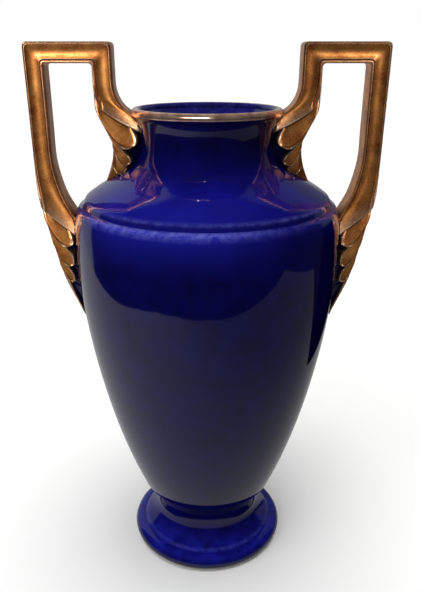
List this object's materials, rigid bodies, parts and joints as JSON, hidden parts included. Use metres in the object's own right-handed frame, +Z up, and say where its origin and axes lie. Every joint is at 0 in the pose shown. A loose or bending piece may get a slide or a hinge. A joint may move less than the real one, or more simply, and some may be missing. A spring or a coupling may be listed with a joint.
{
  "type": "ceramic vase",
  "caption": "Tall amphora-shaped vase in cobalt-blue glazed ceramic, on a waisted foot, with square-cornered gilt handles that rise above the mouth. Holds cut flowers or stands as an ornament.",
  "frame": {"origin": "centre of the foot's underside, on the surface that the vase stands on", "axes": "+Z up along the axis of the body, X across the two handles, -Y towards the viewer"},
  "size_m": [0.1826, 0.1448, 0.301],
  "materials": {
    "cobalt_glaze": "polished"
  },
  "bodies": {
    "root": {"vase": "cobalt_glaze"}
  },
  "joints": []
}
